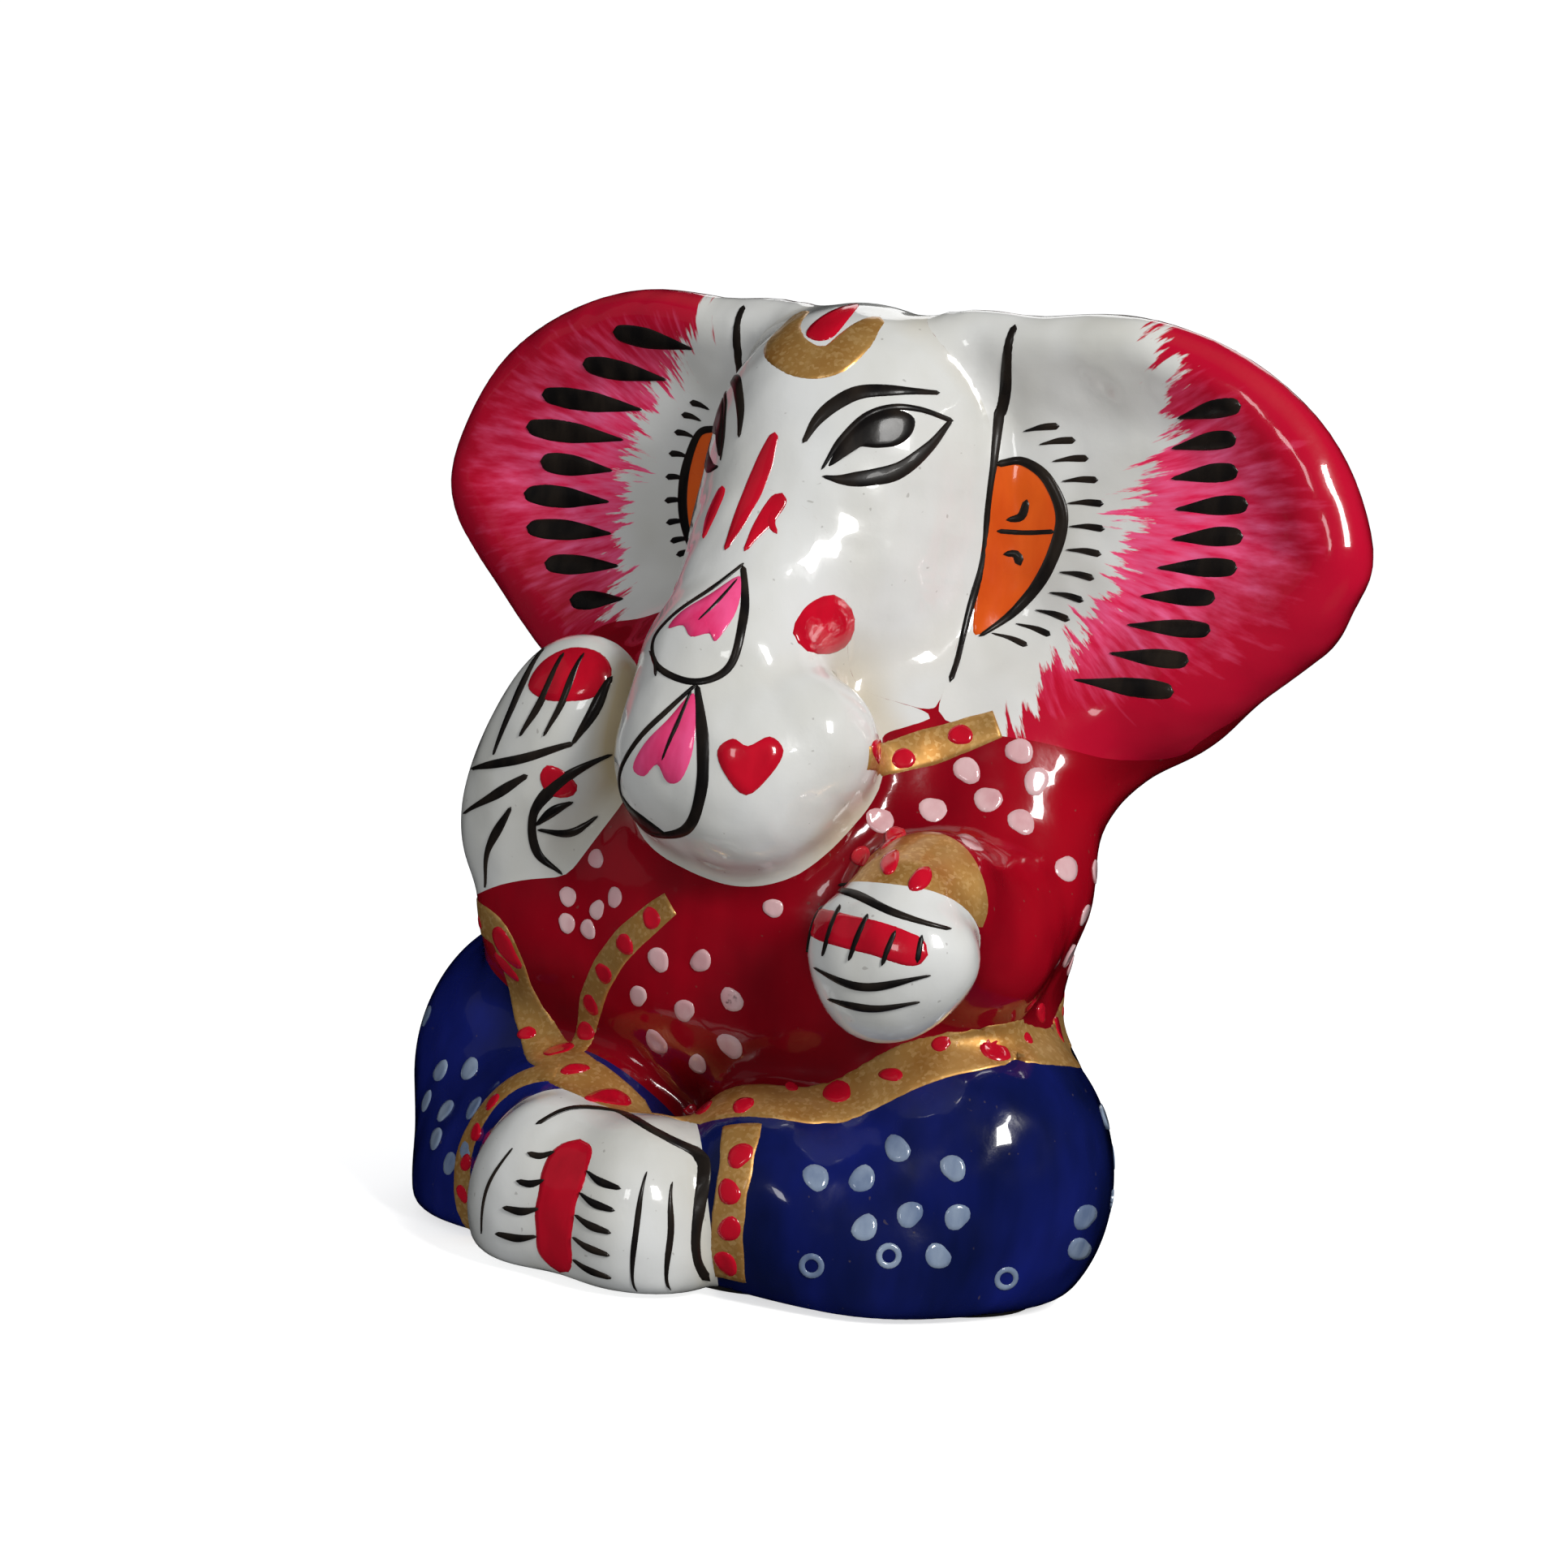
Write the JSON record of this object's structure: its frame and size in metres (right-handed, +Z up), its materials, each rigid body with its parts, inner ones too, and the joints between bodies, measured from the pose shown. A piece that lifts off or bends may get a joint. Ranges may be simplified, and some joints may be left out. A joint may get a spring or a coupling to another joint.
{
  "type": "ganesha idol",
  "caption": "Small seated elephant-headed prayer figure with wide ears and a curled trunk, hand painted in glossy enamel.",
  "frame": {"origin": "centre of the flat underside, on the ground", "axes": "+Z up, the figure faces -Y, +X is the viewer's right"},
  "size_m": [0.084, 0.0442, 0.0742],
  "materials": {
    "white_enamel": "gloss",
    "red_enamel": "gloss",
    "blue_enamel": "gloss",
    "gold_paint": "satin metallic flake",
    "black_enamel": "gloss",
    "pink_enamel": "gloss",
    "orange_enamel": "gloss",
    "dot_enamel": "gloss",
    "base_paint": "matte"
  },
  "bodies": {
    "root": {"base_plate": "base_paint", "torso": "red_enamel", "left_leg": "blue_enamel", "right_leg": "blue_enamel", "feet": "white_enamel", "left_sleeve": "red_enamel", "right_sleeve": "red_enamel", "left_cuff": "gold_paint", "left_hand": "white_enamel", "right_hand": "white_enamel", "head": "white_enamel", "trunk": "white_enamel", "left_ear": "pink_enamel", "right_ear": "pink_enamel", "waist_border": "gold_paint", "left_hem_border": "gold_paint", "right_hem_border": "gold_paint", "sleeve_border": "gold_paint", "collar_border": "gold_paint", "left_ear_opening": "orange_enamel", "right_ear_opening": "orange_enamel", "left_ear_ticks": "black_enamel", "right_ear_ticks": "black_enamel", "left_ear_strokes": "black_enamel", "right_ear_strokes": "black_enamel", "temple_lines": "black_enamel", "eyes": "black_enamel", "brows": "black_enamel", "forehead_mark": "gold_paint", "forehead_drop": "red_enamel", "nose_strokes": "red_enamel", "trunk_petals": "pink_enamel", "trunk_outlines": "black_enamel", "cheek_spots": "red_enamel", "trunk_tip_spot": "red_enamel", "right_palm_marks": "black_enamel", "left_palm_marks": "black_enamel", "sole_marks": "red_enamel", "toe_marks": "black_enamel", "tunic_dots": "dot_enamel", "leg_dots": "dot_enamel", "border_dots": "red_enamel"}
  },
  "joints": []
}
